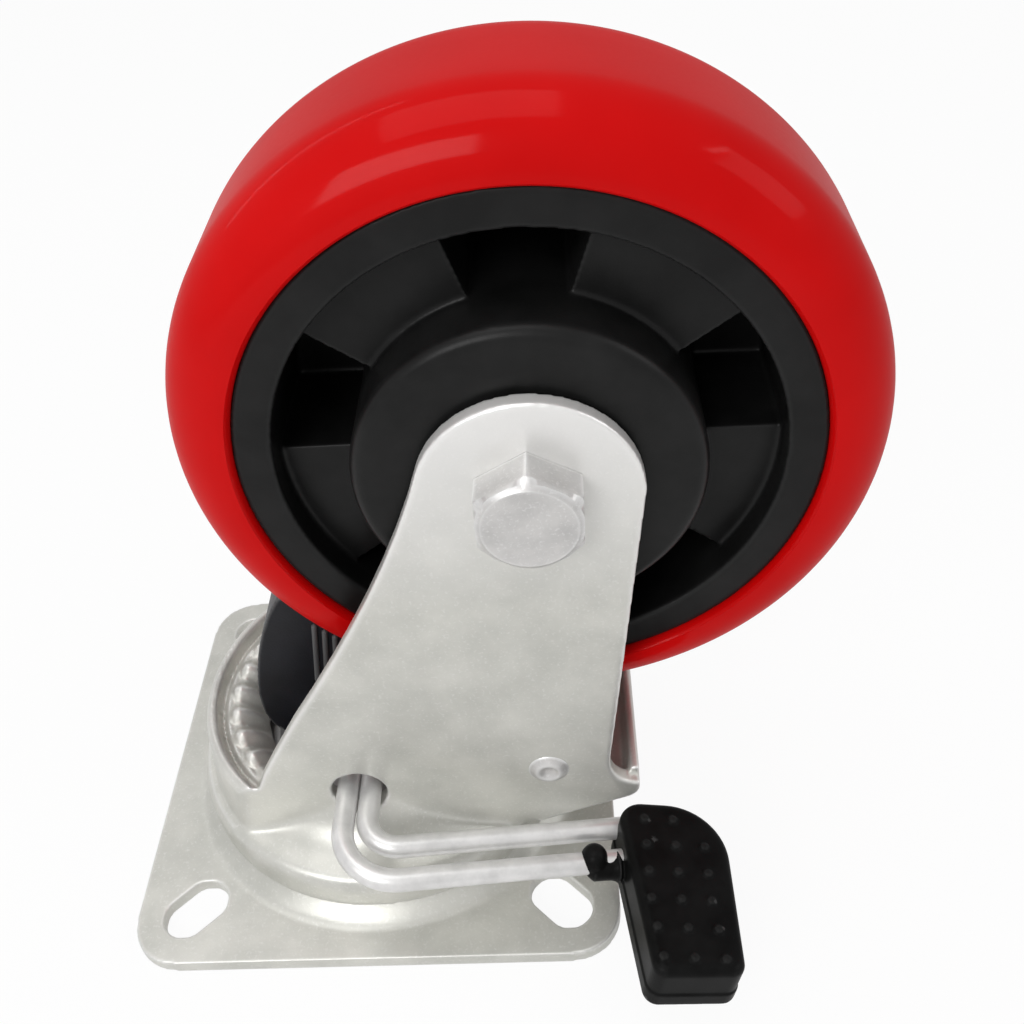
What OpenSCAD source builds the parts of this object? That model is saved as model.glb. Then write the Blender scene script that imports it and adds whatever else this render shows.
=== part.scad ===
// Swivel caster with a side brake, standing upside down on its top plate.
// Origin: centre of the plate's mounting face. +Z points from the plate to the wheel.
// +X is the side that the wheel trails to, and the pedal stands on the -Y side.

/* [Wheel] */
// Outside diameter of the tread
wheel_d = 150; // [125:1:175]
// Overall width of the tread
tread_w = 50; // [40:1:56]
// Diameter of the core under the tread
core_d = 120; // [104:1:124]
// Width of the core's rim
rim_w = 46; // [38:1:50]
// Radial thickness of the core's rim
rim_t = 8; // [5:0.5:9]
// Diameter of the hub boss
hub_d = 72; // [60:1:80]
// Length of the hub, face to face
hub_l = 59; // [50:1:71]
// Pockets on each face of the core
pockets = 5; // [4:1:7]

/* [Axle] */
// Thread diameter of the axle bolt
bolt_d = 14; // [12:1:14]
// Width across the flats of the bolt head and the nut
bolt_af = 21; // [19:0.5:24]
// Height of the bolt head
bolt_head_h = 8.8; // [6:0.2:10]
// Height of the lock nut
nut_h = 12; // [9:0.5:15]
// Wall of the sleeve that carries the bearings
sleeve_wall = 1.4; // [1:0.1:2.5]
// Outside diameter of the ball bearings
bearing_d = 40; // [38:1:42]
// Width of each ball bearing
bearing_w = 12; // [10:0.5:14]
// Thickness of the spacer between a bearing and a fork leg
spacer_t = 2; // [1:0.25:3]

/* [Fork] */
// Sheet thickness of the fork
fork_t = 4; // [3:0.25:5]
// Trail: distance from the swivel axis to the axle
trail = 46.5; // [40:0.5:52]
// Gap between the mounting face and the tread
wheel_lift = 54; // [52:0.5:64]
// Radius of the rounded end of each leg
leg_end_r = 23; // [19:0.5:27]
// Outside diameter of the crown's skirt
crown_d = 103; // [86:1:108]
// Length of the fork's foot from the swivel axis to its free edge
fork_reach = 69; // [62:0.5:76]

/* [Top plate] */
// Side of the square plate
plate_w = 126; // [118:1:152]
// Thickness of the plate
plate_t = 4; // [3:0.25:5]
// Corner radius of the plate
corner_r = 12.5; // [6:0.5:16]
// Distance from the plate's edges to the centre of each fixing slot
slot_inset = 15; // [12:0.5:18]
// Width of a fixing slot
slot_w = 12; // [9:0.5:13]
// Length of a fixing slot, end to end
slot_l = 17.5; // [15:0.5:19]
// Height of the pressed dome over the plate's top face
dome_h = 4.2; // [3:0.2:5]

/* [Swivel bearing] */
// Diameter of the main balls
main_ball_d = 8; // [7:0.5:9]
// Diameter of the lower balls
lower_ball_d = 6; // [5:0.5:6.5]
// Smallest gap between neighbouring balls
ball_gap = 2.35; // [0.5:0.05:12]
// Diameter of the king pin
pin_d = 16; // [12:0.5:18]

/* [Brake] */
// Height of the brake lever's pivot over the mounting face
pivot_h = 34.3; // [33:0.1:38]
// Diameter of the lever wire
wire_d = 5.5; // [4.5:0.1:6.6]
// Angle by which the released lever slopes towards the plate
lever_tilt = 9; // [6:0.5:12]
// Angle by which the lever's arms lean back towards the fork
arm_lean = 9.3; // [6:0.1:12]
// Straight length of the lever's near arm
arm_l = 57; // [50:0.5:62]
// Gap left between the cam and the tread with the brake applied
brake_gap = 0.35; // [0.3:0.05:0.6]
// Angle through which the lever turns to apply the brake
brake_turn = 12; // [8:1:14]
// Width of the cam
cam_w = 24; // [16:1:40]
// Thickness of the pedal pad
pad_t = 16; // [13:0.5:18]
// Width of the pedal pad, along the lever's arms
pad_w = 27; // [24:0.5:32]
// Length of the pedal pad, out from the fork
pad_l = 45.4; // [34:0.1:54]
// Diameter of the pin that ties the legs
tie_d = 6; // [5:0.5:8]

/* [Hidden] */
$fn = 96;

// Fits: a running gap on each side, and the gap that keeps loose pieces apart
fit = 0.05;
gap = 0.3;
// Overlap of a cut past the face it cuts, how far a straight of the wire enters a bend, and the
// amount that a bend of the wire is thicker than its straights
over = 1;
lap = 0.2;
swell = 0.05;

// Axle and fork, across Y
bearing_recess = 1;
sleeve_d = bolt_d + 2 * sleeve_wall + 4 * fit;
leg_in = hub_l / 2 - bearing_recess + spacer_t;
leg_out = leg_in + fork_t;
washer_h = 2.5;
nut_y = leg_out + washer_h;
bolt_end = nut_y + nut_h + 2.5;

// Swivel bearing, along Z
dome_top = plate_t + dome_h;
dome_r = crown_d / 2 + 4.5;
race_depth = 1.4;
main_pitch_r = crown_d / 2 - 8.5;
main_balls_n = floor(2 * PI * main_pitch_r / (main_ball_d + ball_gap));
main_ball_z = dome_top - race_depth + main_ball_d / 2 + fit;
roof_z = main_ball_z + main_ball_d / 2 - 2.3;
floor_z = dome_top + 2.3;
floor_top = floor_z + fork_t;
ring_top = main_ball_z + main_ball_d / 2 + fit + 3.7;
lip_top = ring_top + 18.4;
foot_lip_h = 2.6;
skirt_z = dome_top + 0.8;
cup_r = main_pitch_r - 8.5;
lower_pitch_r = cup_r - 7.5;
lower_balls_n = floor(2 * PI * lower_pitch_r / (lower_ball_d + ball_gap));
lower_ball_z = floor_top - 0.9 + lower_ball_d / 2 + fit;
cup_t = 3;
cup_under = lower_ball_z + lower_ball_d / 2 - 0.6;
cup_top = cup_under + cup_t;
pin_head_r = 15;
pin_top = cup_top + 3;

// Wheel
tread_r = wheel_d / 2;
axle_h = wheel_lift + tread_r;
core_r = core_d / 2;
shoulder_r = min(14, tread_r - core_r - 0.5);
rim_in = core_r - rim_t;
hub_r = hub_d / 2;
bearing_y = hub_l / 2 - bearing_recess - bearing_w / 2;
bearing_in_r = sleeve_d / 2;
ring_wall = 3.2;
bearing_ball_r = (bearing_d / 2 - bearing_in_r - 2 * ring_wall) / 2 + 0.9;
bearing_pitch_r = (bearing_d / 2 + bearing_in_r) / 2;

// Brake
pivot_x = -1.6;
strand = wire_d / 2 + 0.1;
lever_hole_r = 2 * strand + 1.3;
lever_washer_r = lever_hole_r + 2.5;
tie_h = pivot_h + 7;
axle_way = [trail - pivot_x, axle_h - pivot_h];
cam_r = norm(axle_way) - tread_r - brake_gap;
cam_edge_a = atan2(axle_way[1], axle_way[0]) - brake_turn + 1;
shoe_gap = 2.6;
cam_back = -cup_r + 7.3;
cam_low = -2 * strand - 1.9;
far_bend_r = 7.5;
near_bend_r = 13;
far_bend_y = leg_out + 7.5;
near_bend_y = leg_out + 11;
bend_turn = 90 + arm_lean;
washer_t = 1.5;

// Closed end of the wire in the lever's plane: where each arm starts, the way that both run, and
// the centre and radius of the hairpin
near_end = on_arc([-strand + near_bend_r, -near_bend_y], near_bend_r, 180 + bend_turn);
far_end = on_arc([strand + far_bend_r, -far_bend_y], far_bend_r, 180 + bend_turn);
lean = [cos(arm_lean), sin(arm_lean)];
across = [-sin(arm_lean), cos(arm_lean)];
far_arm_l = arm_l - (far_end - near_end) * lean;
hairpin_r = (far_end - near_end) * across / 2;
hairpin_c = near_end + arm_l * lean + hairpin_r * across;
hairpin_out = hairpin_r + wire_d / 2 + swell;

// Pedal pad, moulded round the hairpin: how far the wire reaches in, and the wall past the far arm
pad_grip = 10.5;
pad_wall = 0.85;
pad_left = hairpin_c[0] + hairpin_out - pad_grip;
pad_right = pad_left + pad_w;
pad_far = hairpin_c[1] + hairpin_out + pad_wall;
pad_near = pad_far - pad_l;

// One point on an arc about c
function on_arc(c, r, a) = [c[0] + r * cos(a), c[1] + r * sin(a)];
function arc(c, r, a0, a1, n) = [for (i = [0 : n]) on_arc(c, r, a0 + (a1 - a0) * i / n)];
// A soft step from 1 down to 0 as t goes from 0 to 1
function soft_step(t) = (1 + cos(180 * t)) / 2;
// Quadratic curve through a towards c, pulled to b
function curve(a, b, c, n) =
    [for (i = [0 : n]) let (t = i / n) (1 - t) * (1 - t) * a + 2 * t * (1 - t) * b + t * t * c];

module along_y(y0, y1) {
    translate([0, y1, 0]) rotate([90, 0, 0]) linear_extrude(y1 - y0) children();
}

// Turns a profile of [radius, y] round the axle line
module about_axle() {
    translate([trail, 0, axle_h]) rotate([-90, 0, 0]) rotate_extrude() children();
}

module both_sides() {
    children();
    mirror([0, 1, 0]) children();
}

// ---- Top plate and swivel bearing ----

module plate_outline() {
    c = plate_w / 2 - corner_r;
    polygon(concat(arc([c, c], corner_r, 0, 90, 12), arc([-c, c], corner_r, 90, 180, 12),
                   arc([-c, -c], corner_r, 180, 270, 12), arc([c, -c], corner_r, 270, 360, 12)));
}

module slot() {
    run = (slot_l - slot_w) / 2;
    translate([0, 0, -over]) linear_extrude(plate_t + 2 * over) {
        for (s = [-run, run]) translate([s, 0]) circle(d = slot_w);
        square([2 * run, slot_w], center = true);
    }
}

module dome_profile(z0, r_out, r_in, h) {
    steps = 8;
    polygon(concat([[0, z0 - over], [r_out, z0 - over]],
                   [for (i = [0 : steps]) [r_out + (r_in - r_out) * i / steps,
                                           z0 + h * (1 - soft_step(i / steps))]],
                   [[0, z0 + h]]));
}

module top_plate() {
    color("gainsboro") difference() {
        union() {
            linear_extrude(plate_t) plate_outline();
            rotate_extrude() dome_profile(plate_t, dome_r, dome_r - 8, dome_h);
        }
        rotate_extrude() dome_profile(0, dome_r - fork_t, dome_r - fork_t - 6, dome_h);
        translate([0, 0, main_ball_z]) rotate_extrude()
            translate([main_pitch_r, 0]) circle(r = main_ball_d / 2 + fit);
        cylinder(r = pin_d / 2 + fit, h = dome_top + over);
        for (a = [45 : 90 : 315]) rotate(a)
            translate([(plate_w / 2 - slot_inset) * sqrt(2), 0, 0]) slot();
    }
}

module king_pin() {
    head_low = 0.8;
    rim = pin_d / 2 + 4;
    color("silver") rotate_extrude() polygon([
        [0, head_low], [pin_head_r - 1, head_low], [pin_head_r, head_low + 1],
        [pin_head_r, dome_h - fit], [pin_d / 2, dome_h - fit], [pin_d / 2, cup_top + fit],
        [rim, cup_top + fit], [rim, cup_top + 1.6], [rim - 2.5, pin_top], [0, pin_top]]);
}

module ball_ring(n, pitch_r, z, r) {
    for (i = [0 : n - 1]) rotate(360 * i / n) translate([pitch_r, 0, z]) sphere(r = r);
}

module main_balls() {
    color("lightsteelblue") ball_ring(main_balls_n, main_pitch_r, main_ball_z, main_ball_d / 2);
}

module lower_balls() {
    color("lightsteelblue") ball_ring(lower_balls_n, lower_pitch_r, lower_ball_z, lower_ball_d / 2);
}

module lower_race() {
    color("whitesmoke") difference() {
        rotate_extrude() polygon([
            [pin_d / 2 + fit, cup_under], [cup_r - cup_t, cup_under], [cup_r - cup_t, floor_top + 0.7],
            [cup_r, floor_top + 0.7], [cup_r, cup_under + 1], [cup_r - 2, cup_top], [pin_d / 2 + fit, cup_top]]);
        translate([0, 0, lower_ball_z]) rotate_extrude()
            translate([lower_pitch_r, 0]) circle(r = lower_ball_d / 2 + fit);
    }
}

// ---- Fork ----

// Crown without its lip: skirt, race roof and floor, as [radius, z]
module crown_profile() {
    r = crown_d / 2;
    polygon([[pin_d / 2 + 4, floor_z], [cup_r + 0.6, floor_z], [cup_r + 2.6, roof_z], [r - 3.3, roof_z],
             [r - 3.3, skirt_z], [r, skirt_z], [r, ring_top - 3.5], [r - 1.5, ring_top],
             [cup_r + 2.6, ring_top], [cup_r + 0.6, ring_top - 2], [cup_r + 0.6, floor_top],
             [pin_d / 2 + 4, floor_top]]);
}

// Wall round the crown's open end, as high as the feet of the legs
module lip_profile() {
    r = crown_d / 2 - 4.1;
    polygon([[r - fork_t - 0.4, roof_z + 1], [r + 1.2, roof_z + 1], [r + 0.7, ring_top + 1],
             [r - 0.5, lip_top - 3], [r - 1.2, lip_top - 0.9], [r - 2.4, lip_top], [r - 3.6, lip_top - 0.7],
             [r - fork_t - 0.2, lip_top - 2.6]]);
}

// Room for the lower race inside the crown and under the feet of the legs
module race_pocket() {
    rotate_extrude() translate([0, floor_top]) square([cup_r + 0.6, cup_top + 1 - floor_top]);
}

// Ring pressed against the wall, which slopes down over the lower race as a cover
module cover_profile() {
    r = crown_d / 2 - 8;
    top = lip_top - 2.3;
    polygon([[r, top - 5], [r, top - 3], [r - 2.2, top - 0.6], [r - 4, top], [r - 5.4, top - 0.5],
             [cup_r - 3.5, cup_top + 6], [cup_r - 3.5, cup_top + 4], [r - 6.5, top - 3.4], [r - 3, top - 3]]);
}

// Hollow curve by which a leg flows into the crown
module foot_profile() {
    r = crown_d / 2 - 1.5;
    reach = r - leg_out - 0.5;
    polygon(concat([[leg_in, roof_z + 1], [r, roof_z + 1]],
                   arc([r, ring_top + reach], reach, 270, 180, 10),
                   [[leg_in, ring_top + reach]]));
}

// Side view of a leg
module leg_outline() {
    left_foot = [-crown_d / 2 + 20, roof_z + 6];
    left_low = [trail - 76, ring_top + 15];
    left_top = on_arc([trail, axle_h], leg_end_r, 159);
    right_low = [fork_reach - 7.4, pivot_h + 9];
    polygon(concat(
        curve(left_foot, left_low, left_low + [7.5, 13], 5),
        curve(left_low + [16, 28], [trail - 31, axle_h - 22], left_top, 8),
        arc([trail, axle_h], leg_end_r, 155, 3, 20),
        curve(right_low, right_low + [0, -8.5], [fork_reach, pivot_h], 6),
        curve([fork_reach, ramp_z(fork_reach) + 3], [fork_reach, ramp_z(fork_reach)],
              [fork_reach - 3, ramp_z(fork_reach - 3)], 5),
        [[crown_d / 2 - 20, roof_z + 1]]));
}

// Underside of the sloping foot at distance x from the swivel axis
function ramp_z(x) = roof_z + 1.2 + (x - 32) * 0.424;

// Sloping foot, with its free edge turned up
module foot_ramp() {
    rise = fork_t / cos(23);
    lip = foot_lip_h;
    along_y(-leg_in - over, leg_in + over) polygon([
        [32, ramp_z(32)], [fork_reach, ramp_z(fork_reach)],
        [fork_reach, ramp_z(fork_reach) + rise + lip], [fork_reach - 0.8, ramp_z(fork_reach) + rise + lip + 0.4],
        [fork_reach - 2.2, ramp_z(fork_reach) + rise + lip], [fork_reach - 3.4, ramp_z(fork_reach - 3.4) + rise],
        [34, ramp_z(34) + rise], [32, ring_top]]);
}

module fork() {
    color("gainsboro") difference() {
        union() {
            rotate_extrude() crown_profile();
            intersection() {
                rotate_extrude() lip_profile();
                translate([-crown_d, -leg_out, 0]) cube([crown_d, 2 * leg_out, 2 * lip_top]);
            }
            intersection() {
                rotate_extrude() cover_profile();
                translate([-crown_d, -leg_in - fork_t / 2, 0]) cube([crown_d - 12, 2 * leg_in + fork_t, 2 * lip_top]);
            }
            both_sides() {
                intersection() {
                    rotate_extrude() foot_profile();
                    translate([-crown_d, leg_in, 0]) cube([2 * crown_d, crown_d, axle_h]);
                }
                along_y(leg_in, leg_out) leg_outline();
            }
            foot_ramp();
        }
        race_pocket();
        translate([0, 0, main_ball_z]) rotate_extrude()
            translate([main_pitch_r, 0]) circle(r = main_ball_d / 2 + fit);
        translate([0, 0, lower_ball_z]) rotate_extrude()
            translate([lower_pitch_r, 0]) circle(r = lower_ball_d / 2 + fit);
        along_y(-leg_out - over, leg_out + over) translate([trail, axle_h]) circle(d = bolt_d + 4 * fit);
        along_y(-leg_out - over, leg_out + over) translate([trail, tie_h]) circle(d = tie_d);
        along_y(-crown_d, crown_d) translate([pivot_x, pivot_h]) circle(r = lever_hole_r);
        along_y(leg_out, crown_d) translate([pivot_x, pivot_h]) circle(r = lever_washer_r + 0.5);
    }
}

module cross_pin() {
    end = 1.4;
    collar = tie_d / 2 + 2;
    color("gainsboro") translate([trail, 0, tie_h]) rotate([-90, 0, 0]) rotate_extrude() polygon([
        [0, -leg_out - end], [collar - 2.2, -leg_out - end], [collar, -leg_out - 0.5],
        [collar, -leg_out], [tie_d / 2, -leg_out], [tie_d / 2, leg_out], [collar, leg_out],
        [collar, leg_out + 0.5], [collar - 2.2, leg_out + end], [0, leg_out + end]]);
}

// ---- Axle and wheel bearings ----

module hexagon(af) {
    rotate(30) circle(d = af / cos(30), $fn = 6);
}

// Hexagonal block with its corners turned off at the outer end, from y0 to y1
module hex_block(y0, y1, outer) {
    intersection() {
        along_y(y0, y1) translate([trail, axle_h]) hexagon(bolt_af);
        about_axle() polygon(outer > 0
            ? [[0, y0], [bolt_af, y0], [bolt_af / 2 + 1.6, y1 - 1.2], [bolt_af / 2 - 0.6, y1], [0, y1]]
            : [[0, y0], [bolt_af / 2 - 0.6, y0], [bolt_af / 2 + 1.6, y0 + 1.2], [bolt_af, y1], [0, y1]]);
    }
}

module axle_bolt() {
    color("silver") {
        hex_block(-leg_out - bolt_head_h, -leg_out, -1);
        about_axle() polygon([[0, -leg_out - 1], [bolt_d / 2, -leg_out - 1],
                              [bolt_d / 2, bolt_end - 1], [bolt_d / 2 - 1, bolt_end], [0, bolt_end]]);
    }
}

module axle_nut() {
    color("silver") difference() {
        union() {
            hex_block(nut_y, nut_y + nut_h - 3, 1);
            about_axle() translate([0, nut_y + nut_h - 4]) square([bolt_af / 2 - 1.5, 4]);
        }
        about_axle() translate([0, nut_y - over]) square([bolt_d / 2 + fit, nut_h + 2 * over]);
    }
}

module axle_washer() {
    color("silver") about_axle() translate([bolt_d / 2 + 0.5, leg_out]) square([7, washer_h]);
}

module axle_sleeve() {
    color("silver") about_axle() translate([bolt_d / 2 + 2 * fit, -leg_in])
        square([bearing_in_r - bolt_d / 2 - 2 * fit, 2 * leg_in]);
}

module hub_spacers() {
    color("silver") for (s = [-1, 1])
        about_axle() translate([bearing_in_r + fit, s > 0 ? leg_in - spacer_t : -leg_in])
            square([3.4, spacer_t]);
}

// Both bearings: a ring between two radii, less the ball groove
module bearing_ring(r0, r1) {
    for (s = [-1, 1]) about_axle() difference() {
        translate([r0, s * bearing_y - bearing_w / 2]) square([r1 - r0, bearing_w]);
        translate([bearing_pitch_r, s * bearing_y]) circle(r = bearing_ball_r + fit);
    }
}

module bearing_inner_rings() {
    color("silver") bearing_ring(bearing_in_r + fit / 5, bearing_in_r + ring_wall);
}

module bearing_outer_rings() {
    color("silver") bearing_ring(bearing_d / 2 - ring_wall, bearing_d / 2);
}

module bearing_balls() {
    n = 8;
    color("lightsteelblue") for (s = [-1, 1], i = [0 : n - 1])
        translate([trail, s * bearing_y, axle_h]) rotate([0, 360 * i / n, 0])
            translate([bearing_pitch_r, 0, 0]) sphere(r = bearing_ball_r);
}

module bearing_shields() {
    t = 0.6;
    color("dimgray") for (s = [-1, 1], e = [-1, 1])
        about_axle() translate([bearing_in_r + ring_wall + gap, s * bearing_y + e * (bearing_w / 2 - t) - t / 2])
            square([bearing_d / 2 - bearing_in_r - 2 * ring_wall - gap - fit / 5, t]);
}

// ---- Wheel ----

module tread() {
    flat = tread_w / 2 - shoulder_r;
    color("red") about_axle() difference() {
        union() {
            translate([core_r, -flat]) square([tread_r - core_r, 2 * flat]);
            translate([core_r, -tread_w / 2]) square([tread_r - shoulder_r - core_r, tread_w]);
            for (s = [-1, 1]) translate([tread_r - shoulder_r, s * flat]) circle(r = shoulder_r);
        }
        translate([core_r - 2 * shoulder_r, -tread_w]) square([2 * shoulder_r, 2 * tread_w]);
        for (s = [-1, 1]) polygon([[core_r - over, s * (rim_w / 2 - 0.3)], [core_r, s * (rim_w / 2 - 0.3)],
            [core_r + 5, s * (tread_w / 2)], [core_r + 5, s * tread_w], [core_r - over, s * tread_w]]);
    }
}

// Sector of the web between two angles
module sector(a0, a1, r) {
    polygon(concat([[0, 0]], arc([0, 0], r / cos((a1 - a0) / 2), a0, a1, 1)));
}

module web_panels() {
    panel_y = rim_w / 2 - 7;
    panel_t = 5;
    step = 180 / pockets;
    for (i = [0 : 2 * pockets - 1]) {
        side = (i % 2 == 0) ? 1 : -1;
        low = side > 0 ? panel_y - panel_t : -panel_y;
        a = 90 - step / 2 + i * step;
        translate([trail, 0, axle_h]) along_y(low, low + panel_t) intersection() {
            sector(a, a + step, rim_in + 2);
            difference() {
                circle(r = rim_in + 1);
                circle(r = hub_r - 2);
            }
        }
        translate([trail, 0, axle_h]) along_y(-panel_y, panel_y) rotate(a)
            translate([hub_r - 2, -1.5]) square([rim_in - hub_r + 3, 3]);
    }
}

module wheel_core() {
    round_r = 3;
    color("#202020") difference() {
        union() {
            about_axle() {
                translate([rim_in, -rim_w / 2]) square([rim_t, rim_w]);
                translate([0, -hub_l / 2 + round_r]) square([hub_r, hub_l - 2 * round_r]);
                translate([0, -hub_l / 2]) square([hub_r - round_r, hub_l]);
                for (s = [-1, 1]) translate([hub_r - round_r, s * (hub_l / 2 - round_r)]) circle(r = round_r);
            }
            web_panels();
        }
        about_axle() {
            translate([0, -hub_l]) square([sleeve_d / 2 + 2, 2 * hub_l]);
            for (s = [-1, 1]) translate([0, s > 0 ? bearing_y - bearing_w / 2 : -hub_l])
                square([bearing_d / 2, hub_l - bearing_y + bearing_w / 2]);
        }
    }
}

// ---- Brake ----

// Places a shape in the lever's own plane: x along the arms, y as in the object, z across
module in_lever_plane() {
    translate([pivot_x, 0, pivot_h]) rotate([0, lever_tilt, 0]) children();
}

// One strand of the wire through the fork, and its bend
module wire_strand(side, bend_r, bend_y) {
    translate([side, -bend_y - lap, 0]) rotate([-90, 0, 0])
        cylinder(r = wire_d / 2, h = lap + bend_y + leg_out + gap + washer_t);
    wire_bend([side + bend_r, -bend_y], bend_r, 180, bend_turn, 0);
}

// A round bend of the wire about c, from start_a through turn degrees, with room all round
module wire_bend(c, bend_r, start_a, turn, room) {
    translate(c) rotate(start_a) rotate_extrude(angle = turn)
        translate([bend_r, 0]) circle(r = wire_d / 2 + swell + room);
}

// Both arms and the closed end of the wire, with room all round
module wire_hairpin(room) {
    for (a = [[near_end, arm_l], [far_end, far_arm_l]])
        translate(a[0]) rotate(arm_lean) translate([-lap, 0, 0]) rotate([0, 90, 0])
            cylinder(r = wire_d / 2 + room, h = a[1] + 2 * lap);
    wire_bend(hairpin_c, hairpin_r, arm_lean - 90, 180, room);
}

module brake_wire() {
    color("silver") in_lever_plane() {
        wire_strand(-strand, near_bend_r, near_bend_y);
        wire_strand(strand, far_bend_r, far_bend_y);
        wire_hairpin(0);
    }
}

module lever_washer() {
    color("silver") difference() {
        along_y(leg_out + gap, leg_out + gap + washer_t)
            translate([pivot_x, pivot_h]) circle(r = lever_washer_r);
        in_lever_plane() for (s = [-strand, strand])
            translate([s, leg_in, 0]) rotate([-90, 0, 0]) cylinder(r = wire_d / 2 + fit / 5, h = 2 * fork_t);
    }
}

// Side view of the cam about the pivot: lobe, hollow along the tread, and a tall round back
module cam_outline() {
    hollow_r = tread_r + shoe_gap;
    tip = on_arc(axle_way, hollow_r, 218);
    back = [cam_back, 12];
    polygon(concat(
        arc([0, 0], cam_r, -8, cam_edge_a, 12),
        arc(axle_way, hollow_r, 238, 218, 10),
        curve(tip + [-0.6, 0.5], tip + [-1.6, 1.2], tip + [-2.4, 0], 4),
        curve(tip + [-2.4, 0], [cam_back + 2.8, 33], back, 8),
        curve(back, [cam_back - 1.2, -1], [cam_back + 6.2, -5], 5),
        [[-4, cam_low], [6, cam_low]]));
}

module brake_cam() {
    color("#181818") difference() {
        along_y(-cam_w / 2, cam_w / 2) translate([pivot_x, pivot_h]) cam_outline();
        in_lever_plane() for (s = [-strand, strand])
            translate([s, -cam_w, 0]) rotate([-90, 0, 0]) cylinder(r = wire_d / 2 + fit, h = 2 * cam_w);
    }
}

// Plan view of the pedal pad, with one large corner
module pad_outline() {
    r = 3;
    big = 13;
    left_near = pad_left + 6.5;
    polygon(concat(
        arc([pad_right - big, pad_far - big], big, 0, 90, 12),
        arc([pad_left + r, pad_far - r], r, 90, 180, 6),
        arc([left_near, pad_near + r], r, 190, 270, 5),
        arc([pad_right - r - 1, pad_near + r + 2], r, 280, 360, 5)));
}

module pedal_pad() {
    color("#141414") in_lever_plane() difference() {
        translate([0, 0, -pad_t / 2]) linear_extrude(pad_t) pad_outline();
        wire_hairpin(fit);
    }
}

top_plate();
king_pin();
main_balls();
lower_balls();
lower_race();
fork();
axle_bolt();
axle_nut();
axle_washer();
axle_sleeve();
hub_spacers();
bearing_inner_rings();
bearing_balls();
bearing_outer_rings();
bearing_shields();
wheel_core();
tread();
cross_pin();
brake_wire();
brake_cam();
lever_washer();
pedal_pad();
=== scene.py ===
import math

import bmesh
import bpy
from mathutils import Matrix, Vector


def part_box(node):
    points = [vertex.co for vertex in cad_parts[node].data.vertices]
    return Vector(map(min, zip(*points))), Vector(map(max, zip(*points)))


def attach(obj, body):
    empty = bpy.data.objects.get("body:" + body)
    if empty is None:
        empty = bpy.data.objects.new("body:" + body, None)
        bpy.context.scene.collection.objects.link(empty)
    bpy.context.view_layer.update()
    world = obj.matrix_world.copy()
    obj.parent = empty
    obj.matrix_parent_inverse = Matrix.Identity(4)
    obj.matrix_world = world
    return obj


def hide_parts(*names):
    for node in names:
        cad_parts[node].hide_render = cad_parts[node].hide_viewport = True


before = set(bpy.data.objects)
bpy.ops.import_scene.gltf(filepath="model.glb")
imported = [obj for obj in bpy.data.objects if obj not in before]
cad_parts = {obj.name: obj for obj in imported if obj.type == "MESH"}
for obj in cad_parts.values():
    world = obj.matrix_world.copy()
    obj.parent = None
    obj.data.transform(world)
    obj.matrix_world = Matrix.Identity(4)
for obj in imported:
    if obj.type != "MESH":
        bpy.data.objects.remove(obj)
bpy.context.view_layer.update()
mm = 0.001
print("frame loaded")


# A shader socket that takes part in sums
class Value:
    def __init__(self, shader, socket):
        self.shader = shader
        self.socket = socket

    def sum(self, operation, left, right):
        return self.shader.node("ShaderNodeMath", {"operation": operation}, {0: left, 1: right})

    def __add__(self, other):
        return self.sum("ADD", self, other)

    def __radd__(self, other):
        return self.sum("ADD", other, self)

    def __sub__(self, other):
        return self.sum("SUBTRACT", self, other)

    def __mul__(self, other):
        return self.sum("MULTIPLY", self, other)


# A node tree, with one method that makes and feeds any node
class Shader:
    def __init__(self, tree):
        self.tree = tree

    def feed(self, socket, value):
        if isinstance(value, Value):
            self.tree.links.new(value.socket, socket)
        else:
            socket.default_value = value

    def node(self, kind, settings, inputs, output=0):
        made = self.tree.nodes.new(kind)
        for key, value in settings.items():
            setattr(made, key, value)
        for key, value in inputs.items():
            self.feed(made.inputs[key], value)
        return Value(self, made.outputs[output])


# A material and the textures that it is made from
class Finish(Shader):
    def __init__(self, name, **fixed):
        self.material = bpy.data.materials.new(name)
        self.material.use_nodes = True
        super().__init__(self.material.node_tree)
        self.surface = self.tree.nodes["Principled BSDF"]
        for label, value in fixed.items():
            self.surface.inputs[label.replace("_", " ")].default_value = value

    def place(self, stretch=(1, 1, 1), turn=(0, 0, 0)):
        spot = self.node("ShaderNodeTexCoord", {}, {}, "Object")
        return self.node("ShaderNodeMapping", {}, {"Vector": spot, "Scale": stretch, "Rotation": turn})

    def noise(self, scale, detail=2.0, rough=0.5, stretch=(1, 1, 1), turn=(0, 0, 0)):
        return self.node("ShaderNodeTexNoise", {}, {
            "Vector": self.place(stretch, turn), "Scale": scale, "Detail": detail, "Roughness": rough})

    def band(self, value, limits):
        return self.node("ShaderNodeMapRange", {"clamp": True}, {
            "Value": value, "From Min": limits[0], "From Max": limits[1]})

    def mix(self, factor, first, second):
        return self.node("ShaderNodeMix", {"data_type": "RGBA"}, {0: factor, 6: first, 7: second}, 2)

    def edges(self, limits):
        return self.band(self.node("ShaderNodeNewGeometry", {}, {}, "Pointiness"), limits)

    def height(self):
        spot = self.node("ShaderNodeNewGeometry", {}, {}, "Position")
        return self.node("ShaderNodeSeparateXYZ", {}, {"Vector": spot}, "Z")

    def set(self, label, value):
        self.feed(self.surface.inputs[label], value)

    def bump(self, height, distance):
        self.set("Normal", self.node("ShaderNodeBump", {}, {
            "Height": height, "Distance": distance, "Strength": 1.0}))


def grey(level, warm=0.0):
    return (level * (1 + warm), level, level * (1 - warm), 1)


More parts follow.
